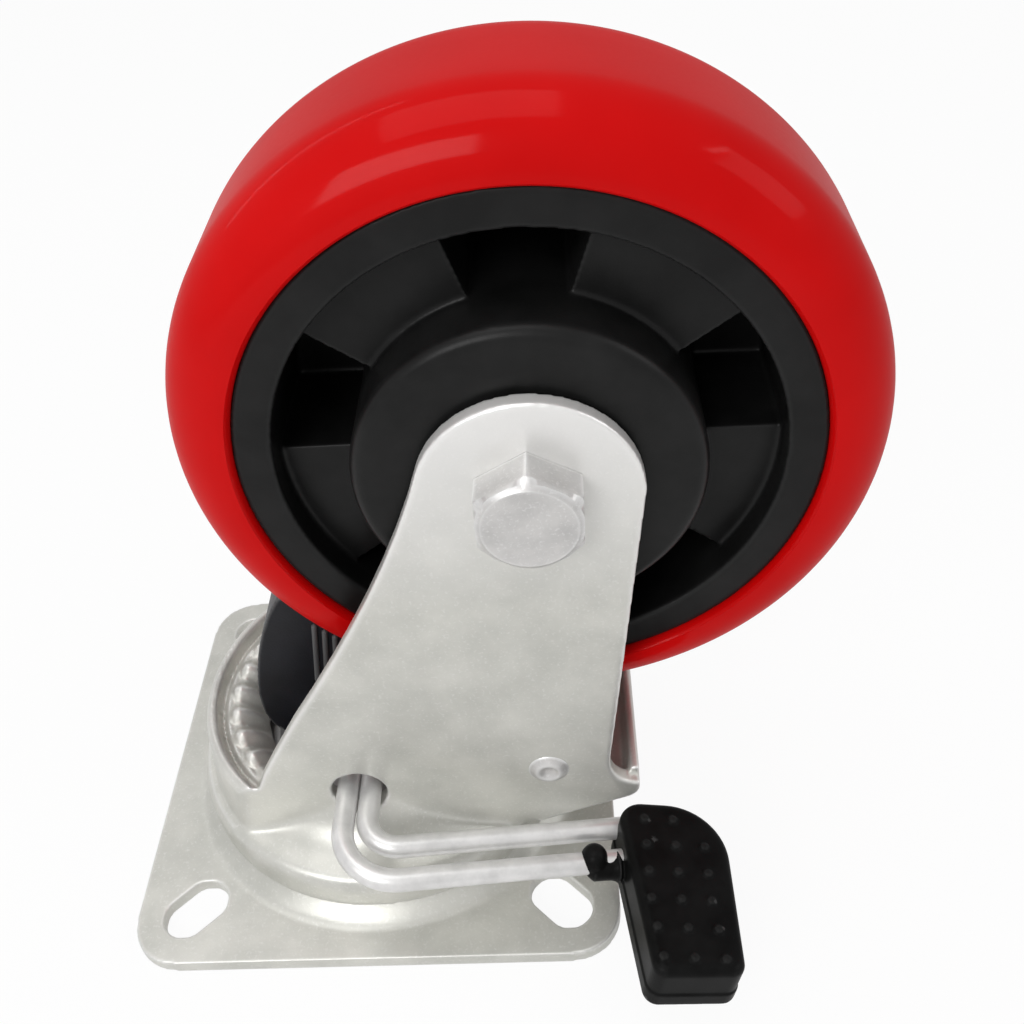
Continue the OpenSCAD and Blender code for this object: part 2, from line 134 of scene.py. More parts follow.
# What all zinc finishes share: the legs turn paler over a band of heights, which is painted light, their tops
# painted brighter as if more strongly lit
zincShare = {
    "cloudBand": (0.36, 0.64), "speckBand": (0.56, 0.74), "wearAndSheenBand": (0.505, 0.56), "paintedLightHeights": (0.098, 0.146),
    "speckRough": 0.08, "wornRough": 0.04, "speckDepth": 0.7, "scratchDepth": 0.5,
    "scratchStretch": (0.12, 1, 0.2), "scratchTurn": (0.2, 0.5, 0.3),
}


def zincFinish(name, look):
    share = zincShare
    zinc = Finish(name, Metallic=look["metal"])
    clouds = zinc.noise(look["clouds"], 4, 0.6)
    speck = zinc.noise(look["speck"], 2, 0.5)
    scratch = zinc.noise(look["scratch"], 1, 0.5, share["scratchStretch"], share["scratchTurn"])
    # Paler edges: partly real wear, partly a painted highlight along the edges
    wearAndSheen = zinc.edges(share["wearAndSheenBand"])
    tone = zinc.mix(zinc.band(clouds, share["cloudBand"]), look["dark"], look["light"])
    tone = zinc.mix(zinc.band(speck, share["speckBand"]) * look["speckAmount"], tone, look["pale"])
    tone = zinc.mix(wearAndSheen * look["edgeWearAndSheen"], tone, look["pale"])
    # Painted light: the tops of the legs are made paler with height, as if lit more strongly there
    tone = zinc.mix(zinc.band(zinc.height(), share["paintedLightHeights"]) * look["paintedTopLight"], tone, look["pale"])
    zinc.set("Base Color", tone)
    rough = look["rough"] + (clouds - 0.5) * look["roughSpread"] + (speck - 0.5) * share["speckRough"]
    zinc.set("Roughness", rough - wearAndSheen * share["wornRough"])
    relief = speck * share["speckDepth"] + scratch * share["scratchDepth"] + clouds * look["wave"]
    zinc.bump(relief, look["relief"] * mm)
    return zinc.material


plateLook = {
    "metal": 0.45, "clouds": 55, "speck": 1300, "scratch": 700, "speckAmount": 0.28, "edgeWearAndSheen": 0.8,
    "dark": (0.55, 0.55, 0.51, 1), "light": (0.66, 0.655, 0.61, 1), "pale": grey(0.88, 0.01),
    "rough": 0.36, "roughSpread": 0.10, "wave": 0.8, "relief": 0.03, "paintedTopLight": 0.80,
}
fastenerLook = {
    "metal": 0.5, "clouds": 130, "speck": 1600, "scratch": 1200, "speckAmount": 0.35, "edgeWearAndSheen": 0.7,
    "dark": grey(0.50, 0.015), "light": grey(0.61, 0.02), "pale": grey(0.88, 0.0),
    "rough": 0.38, "roughSpread": 0.14, "wave": 0.8, "relief": 0.02, "paintedTopLight": 0.0,
}
wireLook = {
    "metal": 0.5, "clouds": 160, "speck": 1500, "scratch": 900, "speckAmount": 0.12, "edgeWearAndSheen": 0.0,
    "dark": grey(0.66, 0.01), "light": grey(0.78, 0.01), "pale": grey(0.88, 0.0),
    "rough": 0.36, "roughSpread": 0.08, "wave": 1.0, "relief": 0.004, "paintedTopLight": 0.0,
}
bearingLook = {
    "metal": 1.0, "clouds": 180, "speck": 2200, "scratch": 1500, "speckAmount": 0.15, "edgeWearAndSheen": 0.2,
    "dark": grey(0.50, -0.02), "light": grey(0.62, -0.01), "pale": grey(0.85, 0.0),
    "rough": 0.18, "roughSpread": 0.1, "wave": 0.3, "relief": 0.006, "paintedTopLight": 0.0,
}


def treadFinish(look):
    red = Finish("redTread", Coat_Roughness=look["coatRough"], Specular_IOR_Level=look["shine"])
    clouds = red.noise(look["clouds"], 3, 0.5)
    fine = red.noise(look["fine"], 2, 0.5)
    red.set("Base Color", red.mix(red.band(clouds, look["cloudBand"]), look["deep"], look["bright"]))
    uneven = (clouds - 0.5) * look["cloudRough"] + (fine - 0.5) * look["fineRough"]
    red.set("Roughness", uneven + look["rough"])
    red.set("Coat Weight", look["coat"] + (clouds - 0.5) * look["coatSpread"])
    red.bump(clouds + fine * look["fineDepth"], look["relief"] * mm)
    return red.material


treadLook = {
    "deep": (0.54, 0.0015, 0.0018, 1), "bright": (0.62, 0.003, 0.0033, 1), "clouds": 26, "fine": 900,
    "rough": 0.45, "coat": 0.13, "coatRough": 0.10, "relief": 0.05, "shine": 0.02, "cloudBand": (0.3, 0.7),
    "cloudRough": 0.14, "fineRough": 0.06, "coatSpread": 0.1, "fineDepth": 0.12,
}


plasticShare = {
    "cloudBand": (0.35, 0.68), "wearAndSheenBand": (0.51, 0.58), "cloudRough": 0.12, "grainRough": 0.08,
    "cloudDepth": 0.6,
}


def plasticFinish(name, look):
    share = plasticShare
    black = Finish(name, Specular_IOR_Level=look["shine"])
    clouds = black.noise(look["clouds"], 3, 0.6)
    grain = black.noise(look["grain"], 3, 0.6)
    tone = black.mix(black.band(clouds, share["cloudBand"]), look["dark"], look["light"])
    # Paler edges: partly real wear, partly a painted highlight along the edges
    black.set("Base Color", black.mix(black.edges(share["wearAndSheenBand"]) * look["edgeWearAndSheen"], tone, look["pale"]))
    uneven = (clouds - 0.5) * share["cloudRough"] + (grain - 0.5) * share["grainRough"]
    black.set("Roughness", uneven + look["rough"])
    black.bump(grain * look["grainDepth"] + clouds * share["cloudDepth"], look["relief"] * mm)
    return black.material


coreLook = {
    "dark": grey(0.006), "light": grey(0.012), "pale": grey(0.035), "clouds": 60, "grain": 1300, "edgeWearAndSheen": 0.6,
    "rough": 0.35, "grainDepth": 0.7, "relief": 0.03, "shine": 0.16,
}
camLook = {
    "dark": (0.006, 0.0065, 0.009, 1), "light": (0.011, 0.0115, 0.016, 1), "pale": (0.17, 0.17, 0.17, 1),
    "clouds": 90, "grain": 1500, "edgeWearAndSheen": 0.8, "rough": 0.42, "grainDepth": 0.8, "relief": 0.05, "shine": 0.25,
}
rubberLook = {
    "dark": grey(0.005), "light": grey(0.009), "pale": grey(0.07), "clouds": 120, "grain": 1700, "edgeWearAndSheen": 0.7,
    "rough": 0.34, "grainDepth": 0.7, "relief": 0.02, "shine": 0.04,
}

finishes = {
    "zinc_plate": zincFinish("zincPlate", plateLook),
    "zinc_fastener": zincFinish("zincFastener", fastenerLook),
    "zinc_wire": zincFinish("zincWire", wireLook),
    "bearing_steel": zincFinish("bearingSteel", bearingLook),
    "red_tread": treadFinish(treadLook),
    "black_core": plasticFinish("blackCore", coreLook),
    "black_nylon": plasticFinish("blackNylon", camLook),
    "black_rubber": plasticFinish("blackRubber", rubberLook),
}
print("finishes made")


# Mesh building, in millimetres
def newPiece(name, points, faces):
    mesh = bpy.data.meshes.new(name)
    mesh.from_pydata([[c * mm for c in p] for p in points], [], faces)
    mesh.validate()
    piece = bpy.data.objects.new(name, mesh)
    bpy.context.scene.collection.objects.link(piece)
    return piece


def cleanMesh(piece, weld=0.002):
    work = bmesh.new()
    work.from_mesh(piece.data)
    bmesh.ops.remove_doubles(work, verts=work.verts, dist=weld * mm)
    bmesh.ops.dissolve_degenerate(work, edges=work.edges, dist=0.0005 * mm)
    bmesh.ops.recalc_face_normals(work, faces=work.faces)
    work.to_mesh(piece.data)
    work.free()


def smoothShade(piece, sharpFrom=None):
    piece.data.shade_smooth()
    if sharpFrom:
        piece.data.set_sharp_from_angle(angle=math.radians(sharpFrom))


def bake(piece):
    bpy.context.view_layer.update()
    graph = bpy.context.evaluated_depsgraph_get()
    done = bpy.data.meshes.new_from_object(piece.evaluated_get(graph))
    piece.modifiers.clear()
    piece.data = done


# Remeshes a piece and softens it, so that its corners turn round as a pressing's or a moulding's do
def soften(piece, voxel, rounds, keep=1.0):
    skin = piece.modifiers.new("skin", "REMESH")
    skin.mode = "VOXEL"
    skin.voxel_size = voxel * mm
    skin.use_smooth_shade = True
    if rounds:
        soft = piece.modifiers.new("soft", "SMOOTH")
        soft.factor = 0.5
        soft.iterations = rounds
    if keep < 1:
        thin = piece.modifiers.new("thin", "DECIMATE")
        thin.ratio = keep
    bake(piece)
    smoothShade(piece)


def cadCopy(name, node):
    piece = bpy.data.objects.new(name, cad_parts[node].data.copy())
    bpy.context.scene.collection.objects.link(piece)
    cleanMesh(piece)
    return piece


def dress(piece, body, slotName, *replaced):
    piece.data.materials.clear()
    piece.data.materials.append(finishes[slotName])
    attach(piece, body)
    if replaced:
        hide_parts(*replaced)
    return piece


# Points of a side view with each corner rounded: every entry is (a, b, radius)
def rounded(corners, steps=5):
    out = []
    count = len(corners)
    for i, (a, b, radius) in enumerate(corners):
        here = Vector((a, b))
        before = (Vector(corners[i - 1][:2]) - here)
        after = (Vector(corners[(i + 1) % count][:2]) - here)
        if radius <= 0 or before.length < 1e-6 or after.length < 1e-6:
            out.append((a, b))
            continue
        half = before.angle(after) / 2
        reach = min(radius / math.tan(half), before.length * 0.48, after.length * 0.48)
        start = here + before.normalized() * reach
        end = here + after.normalized() * reach
        for k in range(steps + 1):
            t = k / steps
            out.append(tuple((1 - t) ** 2 * start + 2 * t * (1 - t) * here + t * t * end))
    return out


# Turns a closed side view of (radius, height) about the axle ("y") or the swivel axis ("z"): across gives
# hexagon flats
def turned(name, profile, steps, centre, line="y", across=None):
    points, faces = [], []
    count = len(profile)
    for k in range(steps):
        angle = 2 * math.pi * k / steps
        for i, (radius, height) in enumerate(profile):
            if across:
                flat = (angle + math.pi / 6) % (math.pi / 3) - math.pi / 6
                radius = min(radius, across / 2 / math.cos(flat))
            u, v = radius * math.cos(angle), radius * math.sin(angle)
            spot = (u, height, v) if line == "y" else (u, v, height)
            points.append([spot[j] + centre[j] for j in range(3)])
    for k in range(steps):
        here, there = k * count, ((k + 1) % steps) * count
        for i in range(count):
            j = (i + 1) % count
            faces.append([here + i, there + i, there + j, here + j])
    piece = newPiece(name, points, faces)
    cleanMesh(piece)
    return piece


# Round bar along a route of points, with its ends rounded off: radius may be one size or a size per point
def bar(name, route, radius, sides=28, endRound=0.8):
    spots = [Vector(p) for p in route]
    sizes = radius if isinstance(radius, list) else [radius] * len(spots)
    points, faces = [], []
    side = None
    rings = []
    for i, spot in enumerate(spots):
        ahead = (spots[min(i + 1, len(spots) - 1)] - spots[max(i - 1, 0)]).normalized()
        if side is None:
            side = ahead.orthogonal().normalized()
        side = (side - ahead * side.dot(ahead)).normalized()
        over = ahead.cross(side)
        rings.append((spot, side, over, sizes[i]))
    first, last = rings[0], rings[-1]
    start = (spots[1] - spots[0]).normalized()
    end = (spots[-1] - spots[-2]).normalized()
    caps = [(0.0, 1.0), (0.3, 0.72), (1.0, 0.0)]
    head = [(first[0] + start * endRound * a, first[1], first[2], sizes[0] - endRound * b) for a, b in caps]
    tail = [(last[0] - end * endRound * a, last[1], last[2], sizes[-1] - endRound * b) for a, b in caps]
    rings = head + rings[1:-1] + tail[::-1]
    for spot, side, over, size in rings:
        for k in range(sides):
            angle = 2 * math.pi * k / sides
            points.append(spot + size * (math.cos(angle) * side + math.sin(angle) * over))
    for i in range(len(rings) - 1):
        for k in range(sides):
            m = (k + 1) % sides
            faces.append([i * sides + k, i * sides + m, (i + 1) * sides + m, (i + 1) * sides + k])
    faces.append(list(range(sides))[::-1])
    faces.append([(len(rings) - 1) * sides + k for k in range(sides)])
    piece = newPiece(name, points, faces)
    cleanMesh(piece)
    return piece


# A flat outline given thickness, its edges rounded: profile is a list of (inset, height)
def slab(name, outline, profile, toSpace):
    count = len(outline)
    flat = [Vector(p) for p in outline]
    normals = []
    for i in range(count):
        along = (flat[(i + 1) % count] - flat[i - 1]).normalized()
        normals.append(Vector((-along.y, along.x)))
    points, faces = [], []
    for inset, height in profile:
        for p, n in zip(flat, normals):
            q = p + n * inset
            points.append(toSpace(q.x, q.y, height))
    for r in range(len(profile) - 1):
        for i in range(count):
            j = (i + 1) % count
            faces.append([r * count + i, r * count + j, (r + 1) * count + j, (r + 1) * count + i])
    faces.append(list(range(count))[::-1])
    faces.append([(len(profile) - 1) * count + i for i in range(count)])
    piece = newPiece(name, points, faces)
    cleanMesh(piece)
    return piece


def arc(cx, cy, radius, start, end, steps):
    turn = [math.radians(start + (end - start) * k / steps) for k in range(steps + 1)]
    return [(cx + radius * math.cos(a), cy + radius * math.sin(a)) for a in turn]


def join(name, pieces):
    bpy.ops.object.select_all(action="DESELECT")
    for piece in pieces:
        piece.select_set(True)
    bpy.context.view_layer.objects.active = pieces[0]
    bpy.ops.object.join()
    pieces[0].name = name
    return pieces[0]


def middle(node):
    low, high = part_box(node)
    return (low + high) / 2 / mm, (high - low) / mm


axleSpot, treadSize = middle("tread")
coreSize = middle("wheel_core")[1]
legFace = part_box("axle_washer")[0].y / mm
legSheet = 4.0

# The bead is where the tread's side meets the core: (above the core, in from the side)
treadForm = {"shoulder": 14.0, "steps": 320, "bead": [(1.0, 0.05), (0.5, 0.45), (0.05, 1.6), (0.05, 2.4)]}


def makeTread(form):
    outer, half = treadSize.x / 2, treadSize.y / 2
    inner = coreSize.x / 2
    flat = half - form["shoulder"]
    side = arc(outer - form["shoulder"], flat, form["shoulder"], 0, 90, 18)
    crown = [(outer, y) for y in (-flat * 0.5, 0, flat * 0.5)]
    near = [(r, -y) for r, y in side[::-1]]
    bead = [(inner + above, half - deep) for above, deep in form["bead"]]
    profile = [(r, -y) for r, y in bead[::-1]] + near + crown + side + bead
    piece = turned("tyreTread", profile, form["steps"], axleSpot)
    smoothShade(piece, 50)
    return dress(piece, "wheel", "red_tread", "tread")


coreForm = {"voxel": 0.55, "rounds": 3, "keep": 0.55}


def makeCore(form):
    piece = cadCopy("wheelCentre", "wheel_core")
    soften(piece, form["voxel"], form["rounds"], form["keep"])
    return dress(piece, "wheel", "black_core", "wheel_core")


makeTread(treadForm)
makeCore(coreForm)
print("wheel made")


leverForm = {
    "pivot": (-1.6, 0.0, 34.3), "tilt": 9.0, "strand": 2.85, "lean": 9.3, "wire": 5.5, "legOut": 34.5,
    "nearBend": (13.0, 45.5), "farBend": (7.5, 42.0), "nearRun": 57.0, "tail": 1.8,
}

forkForm = {
    "voxel": 0.55, "rounds": 5, "keep": 0.5, "flutes": 30, "fluteDepth": 2.4, "fluteIn": 29.5, "fluteOut": 40.5,
    "fluteRise": 2.6, "fluteFrom": -8.0, "coverRise": 3.0, "coverHeight": 12.0,
    "footRounds": 80, "footIn": 1.8, "footLow": 11.0, "footHigh": 37.0, "footEnd": 20.0, "holeRoom": 8.0,
    "sideFade": 1.2, "lowFade": 3.0, "highFade": 5.0, "holeFade": 4.0,
}


# Hollows pressed into the cover ring, side by side along its slope
def fluteCover(piece, form):
    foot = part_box("lower_race")[1].z / mm + form["coverRise"]
    for corner in piece.data.vertices:
        x, y, z = corner.co / mm
        share = (math.hypot(x, y) - form["fluteIn"]) / (form["fluteOut"] - form["fluteIn"])
        between = abs(y) < legFace - legSheet and foot < z < foot + form["coverHeight"]
        if 0 < share < 1 and x < form["fluteFrom"] and between:
            wave = (1 - math.cos(math.atan2(y, x) * form["flutes"])) / 2
            belly = math.sin(math.pi * share)
            corner.co.z += (form["fluteRise"] * belly - form["fluteDepth"] * wave * belly ** 0.4) * mm


# Grows from 0 to 1 over a length
def fade(value, length):
    return min(1.0, max(0.0, value) / length)


# The sweep by which each leg's foot runs out into the round crown, clear of the hole for the lever
def softenFeet(piece, form):
    group = piece.vertex_groups.new(name="feet")
    pivotX, pivotZ = leverForm["pivot"][0], leverForm["pivot"][2]
    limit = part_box("top_plate")[1].x / mm - form["footEnd"]
    for corner in piece.data.vertices:
        x, y, z = corner.co / mm
        outside = fade(abs(y) - legFace + form["footIn"], form["sideFade"])
        height = min(fade(z - form["footLow"], form["lowFade"]), fade(form["footHigh"] - z, form["highFade"]))
        away = fade(math.hypot(x - pivotX, z - pivotZ) - form["holeRoom"], form["holeFade"])
        weight = outside * height * away
        if weight > 0 and x < limit:
            group.add([corner.index], weight, "REPLACE")
    sweep = piece.modifiers.new("sweep", "SMOOTH")
    sweep.factor = 0.5
    sweep.iterations = form["footRounds"]
    sweep.vertex_group = "feet"
    bake(piece)


def makeFork(form):
    piece = cadCopy("forkPressing", "fork")
    soften(piece, form["voxel"], form["rounds"], form["keep"])
    softenFeet(piece, form)
    fluteCover(piece, form)
    smoothShade(piece)
    return dress(piece, "fork", "zinc_plate", "fork")


plateForm = {"voxel": 0.5, "rounds": 4, "keep": 0.35}


def makePlate(form):
    piece = cadCopy("topPlate", "top_plate")
    soften(piece, form["voxel"], form["rounds"], form["keep"])
    return dress(piece, "plate", "zinc_plate", "top_plate")


raceForm = {
    "bore": 8.2, "skirt": 3.0, "skirtHeight": 3.5, "shoulder": 1.6, "flat": 5.0, "dish": 7.0, "dishDepth": 0.8,
}


def makeLowerRace(form):
    low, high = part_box("lower_race")
    top, foot = high.z / mm, low.z / mm
    outer = (high.x - low.x) / 2 / mm
    inside, under, floor = outer - form["skirt"], foot + form["skirtHeight"], top - form["dishDepth"]
    profile = rounded([
        (form["bore"], under, 0.3), (inside, under, 0.8), (inside, foot, 0.4), (outer, foot, 0.4),
        (outer, top - form["shoulder"], 1.6), (outer - form["shoulder"] - 0.2, top, 1.2),
        (outer - form["flat"], top, 1.0), (outer - form["dish"], floor, 1.2), (form["bore"], floor, 0.4)], 5)
    piece = turned("lowerRace", profile, 192, (0, 0, 0), "z")
    smoothShade(piece, 60)
    return dress(piece, "plate", "zinc_fastener", "lower_race")


kingForm = {
    "stem": 8.0, "head": 3.2, "collar": 12.0, "collarHeight": 2.9, "peen": 9.0, "dish": 3.0, "dishDepth": 0.7,
}


def makeKingPin(form):
    low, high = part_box("king_pin")
    foot, top = low.z / mm, high.z / mm
    head = (high.x - low.x) / 2 / mm
    stem, collar, under = form["stem"], form["collar"], top - form["collarHeight"]
    profile = rounded([
        (0, foot, 0), (head - 0.4, foot, 0.8), (head, foot + 1.4, 0.6), (head, foot + form["head"], 0.3),
        (stem, foot + form["head"], 0.2), (stem, under, 0.2), (collar, under, 0.2), (collar, top - 1.2, 0.6),
        (form["peen"], top, 1.2), (form["dish"] + 1, top, 0.5), (form["dish"], top - form["dishDepth"], 0.6),
        (0, top - form["dishDepth"], 0)], 4)
    piece = turned("kingPin", profile, 128, (0, 0, 0), "z")
    smoothShade(piece, 40)
    return dress(piece, "plate", "zinc_fastener", "king_pin")


makeFork(forkForm)
makePlate(plateForm)
makeLowerRace(raceForm)
makeKingPin(kingForm)
print("fork and plate made")


# The face's outline is (share of the half flats, drop from the face), from its middle to the chamfer's start
boltForm = {
    "acrossFlats": 21.0, "shank": 14.0, "chamfer": 1.3, "threadLength": 12.0, "pitch": 1.5, "threadDepth": 0.75,
    "face": [(0.5, 0), (0.86, 0), (0.91, 0), (0.92, 0.06), (0.94, 0.25)],
}


# Half the size across the corners of a hexagon
def hexCorner(form):
    return form["acrossFlats"] / 2 / math.cos(math.pi / 6)


def makeBolt(form):
    low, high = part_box("axle_bolt")
    front, back = low.y / mm, high.y / mm
    flat, corner = form["acrossFlats"] / 2, hexCorner(form)
    under, slope = -legFace, front + form["chamfer"]
    head = [(0, front)] + [(flat * share, front + drop) for share, drop in form["face"]]
    head += [(flat + 0.2, front + 0.7), (corner - 0.3, slope + 0.5), (corner + 0.4, slope + 1.0),
             (corner + 0.4, under - 0.8), (corner + 0.4, under - 0.1), (flat - 0.2, under)]
    shank, start = form["shank"] / 2, back - form["threadLength"]
    root = shank - form["threadDepth"]
    thread = []
    for i in range(int((form["threadLength"] - 1) / form["pitch"])):
        y = start + i * form["pitch"]
        thread += [(shank, y + 0.1), (root, y + 0.6), (root, y + 0.85), (shank, y + 1.35)]
    end = [(shank - 0.2, back - 1.0), (shank - 1.2, back - 0.1), (shank - 1.8, back), (0, back)]
    profile = head + [(shank, under), (shank, start)] + thread + end
    piece = turned("axleBolt", profile, 240, (axleSpot.x, 0, axleSpot.z), across=form["acrossFlats"])
    smoothShade(piece, 24)
    return dress(piece, "fork", "zinc_fastener", "axle_bolt")


# The nut's collar is (how far in from the flats, how far below the top)
nutForm = {"bore": 0.1, "collar": [(1.0, 3.1), (1.4, 2.7), (1.5, 1.2), (1.9, 0.4), (2.6, 0)]}


def makeNut(form):
    low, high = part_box("axle_nut")
    foot, top = low.y / mm, high.y / mm
    flat, corner = boltForm["acrossFlats"] / 2, hexCorner(boltForm)
    bore = boltForm["shank"] / 2 + form["bore"]
    profile = [(bore, foot), (flat - 0.4, foot), (flat + 0.3, foot + 0.3), (corner - 0.6, foot + 0.9)]
    profile += [(corner + 0.4, foot + 1.5), (corner + 0.4, top - 5.2), (corner - 0.5, top - 4.2)]
    profile += [(flat, top - 3.4)]
    profile += [(flat - inward, top - below) for inward, below in form["collar"]]
    profile += [(bore + 0.9, top), (bore, top - 0.5)]
    piece = turned("axleNut", profile, 240, (axleSpot.x, 0, axleSpot.z), across=boltForm["acrossFlats"])
    smoothShade(piece, 24)
    return dress(piece, "fork", "zinc_fastener", "axle_nut")


def makeWasher(name, node, bore, body):
    spot, size = middle(node)
    outer, half = size.x / 2, size.y / 2
    near, far = spot.y - half, spot.y + half
    profile = rounded([(bore, near, 0.2), (outer, near, 0.4), (outer, far, 0.6), (bore, far, 0.5)], 4)
    piece = turned(name, profile, 120, (spot.x, 0, spot.z))
    smoothShade(piece, 40)
    return dress(piece, body, "zinc_fastener", node)


# The pin's staked end is (radius, how far below the tip), from its middle outward
pinForm = {"stem": 3.0, "stake": [(0, 1.1), (1.3, 1.0), (2.0, 0.35), (2.6, 0), (3.1, 0.05), (3.7, 0.5)]}


def makeCrossPin(form):
    spot, size = middle("cross_pin")
    half, rim = size.y / 2, size.x / 2
    end = [(radius, half - below) for radius, below in form["stake"]]
    end += [(rim - 0.6, legFace + 0.45), (rim - 0.15, legFace + 0.2), (rim, legFace + 0.02)]
    end += [(form["stem"], legFace)]
    profile = [(r, -y) for r, y in end] + end[::-1]
    piece = turned("crossPin", profile, 96, (spot.x, 0, spot.z))
    smoothShade(piece, 50)
    return dress(piece, "fork", "zinc_fastener", "cross_pin")


makeBolt(boltForm)
makeNut(nutForm)
makeWasher("axleWasher", "axle_washer", 7.5, "fork")
makeCrossPin(pinForm)
print("axle made")


def leverSpace(u, y, w):
    form = leverForm
    tilt = math.radians(form["tilt"])
    px, py, pz = form["pivot"]
    return (px + u * math.cos(tilt) + w * math.sin(tilt), py + y, pz - u * math.sin(tilt) + w * math.cos(tilt))


def hairpin(form):
    lean = math.radians(form["lean"])
    along = Vector((math.cos(lean), math.sin(lean)))
    across = Vector((-along.y, along.x))
    ends = []
    for side, (radius, back) in ((-1, form["nearBend"]), (1, form["farBend"])):
        centre = (side * form["strand"] + radius, -back)
        ends.append(arc(centre[0], centre[1], radius, 180, 270 + form["lean"], 14))
    near, far = Vector(ends[0][-1]), Vector(ends[1][-1])
    radius = (far - near).dot(across) / 2
    centre = near + along * form["nearRun"] + across * radius
    turn = arc(centre.x, centre.y, radius, form["lean"] - 90, form["lean"] + 90, 14)
    inside = form["legOut"] + form["tail"]
    strands = []
    for side in (-1, 1):
        strands.append([(side * form["strand"], inside - 8 * k) for k in range(10)])
    nearArm = [tuple(near.lerp(Vector(turn[0]), k / 8)) for k in range(1, 8)]
    farArm = [tuple(Vector(turn[-1]).lerp(far, k / 8)) for k in range(1, 8)]
    return strands[0] + ends[0] + nearArm + turn + farArm + ends[1][::-1] + strands[1][::-1]


def makeWire(form):
    route = [leverSpace(u, y, 0) for u, y in hairpin(form)]
    piece = bar("brakeWire", route, form["wire"] / 2)
    smoothShade(piece, 60)
    return dress(piece, "brake", "zinc_wire", "brake_wire")


padForm = {
    "big": 15.0, "corner": 6.0, "small": 3.5, "slant": 8.5, "round": 2.2, "skirt": 0.35, "skirtHeight": 5.0,
    "stud": 1.25, "studHeight": 0.75, "firstRow": 5.6, "firstColumn": 6.2, "pitch": 7.1, "voxel": 0.32,
    "rows": 6, "columns": 3, "nearRows": 3, "nearShift": 0.8, "clawEnd": 57.2, "hump": (3.4, 3.7, 4.2),
    "humpOffset": (0.4, 0.9), "tongue": 3.2, "tongueOffset": (-0.9, -1.0), "bendPoint": 24,
}


# Edges of the pad in the lever's plane, from its box: left, right, near, far and half its thickness
def padEdges():
    low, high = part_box("pedal_pad")
    tilt = math.radians(leverForm["tilt"])
    across, height = (high.x - low.x) / mm, (high.z - low.z) / mm
    width = (across * math.cos(tilt) - height * math.sin(tilt)) / math.cos(2 * tilt)
    half = (height - width * math.sin(tilt)) / math.cos(tilt) / 2
    left = (low.x / mm - leverForm["pivot"][0] + half * math.sin(tilt)) / math.cos(tilt)
    return left, left + width, low.y / mm, high.y / mm, half


def ball(name, centre, sizes, steps=24):
    profile = [(math.sin(math.pi * k / steps), math.cos(math.pi * k / steps)) for k in range(steps + 1)]
    points = []
    for height in profile:
        for k in range(steps):
            angle = 2 * math.pi * k / steps
            points.append(leverSpace(centre[0] + sizes[0] * height[0] * math.cos(angle),
                                     centre[1] + sizes[1] * height[0] * math.sin(angle),
                                     centre[2] + sizes[2] * height[1]))
    faces = []
    for i in range(steps):
        for k in range(steps):
            m = (k + 1) % steps
            faces.append([i * steps + k, (i + 1) * steps + k, (i + 1) * steps + m, i * steps + m])
    piece = newPiece(name, points, faces)
    cleanMesh(piece)
    return piece


# Studs in three columns, with the far corner left free
def padStuds(form, left, far, top):
    studs = []
    for row in range(form["rows"]):
        for column in range(form["columns"]):
            if row == 0 and column == form["columns"] - 1:
                continue
            shift = max(0, row - form["nearRows"]) * form["nearShift"]
            u = left + form["firstColumn"] + column * form["pitch"] + shift
            y = far - form["firstRow"] - row * form["pitch"]
            studs.append(ball("stud", (u, y, top), (form["stud"], form["stud"], form["studHeight"]), 16))
    return studs


# The rubber that runs out along the near arm and hooks over it: bendPoint is the hairpin's point where that
# arm leaves its bend
def padClaw(form, left):
    slope = math.tan(math.radians(leverForm["lean"]))
    startU, startY = hairpin(leverForm)[form["bendPoint"]]

    def onArm(u, aside, up):
        return (u, startY + (u - startU) * slope + aside, up)

    end, size = form["clawEnd"], form["tongue"]
    stops = (end, end + 2, end + 4, left - 1.5, left - 0.3, left + 1.5)
    route = [leverSpace(*onArm(u, *form["tongueOffset"])) for u in stops]
    tongue = bar("tongue", route, [size, size, size, size + 0.1, size + 0.5, size + 1.0], endRound=1.4)
    hump = ball("hump", onArm(end + 1.6, *form["humpOffset"]), form["hump"])
    return [tongue, hump]


def makePad(form):
    left, right, near, far, half = padEdges()
    big, corner, small = form["big"], form["corner"], form["small"]
    outline = arc(right - big, far - big, big, 0, 90, 14)
    outline += arc(left + corner, far - corner, corner, 90, 180, 8)
    outline += arc(left + form["slant"], near + small, small, 190, 270, 6)
    outline += arc(right - small, near + small + 1, small, 275, 360, 8)
    reach, step, lift = form["round"], form["skirt"], form["studHeight"]
    turns = [math.radians(15 * k) for k in range(7)]
    edge = [(reach * (1 - math.sin(a)), reach * (1 - math.cos(a))) for a in turns]
    profile = [(inset * 0.6, -half + h * 0.6) for inset, h in edge]
    profile += [(0, -half + form["skirtHeight"]), (step, -half + form["skirtHeight"] + 0.5)]
    profile += [(inset + step, half - lift - h) for inset, h in edge[::-1]]
    parts = [slab("pedalPad", outline, profile, leverSpace)]
    parts += padStuds(form, left, far, half - lift) + padClaw(form, left)
    piece = join("pedalPad", parts)
    soften(piece, form["voxel"], 2, 0.6)
    return dress(piece, "brake", "black_rubber", "pedal_pad")


camForm = {
    "voxel": 0.5, "rounds": 6, "keep": 0.6, "ribs": 3, "ribWidth": 1.5, "ribPitch": 2.5,
    "ribStart": (-12.2, 51.1), "ribLean": 0.134, "ribClear": 4.2, "shortest": 4.0,
}


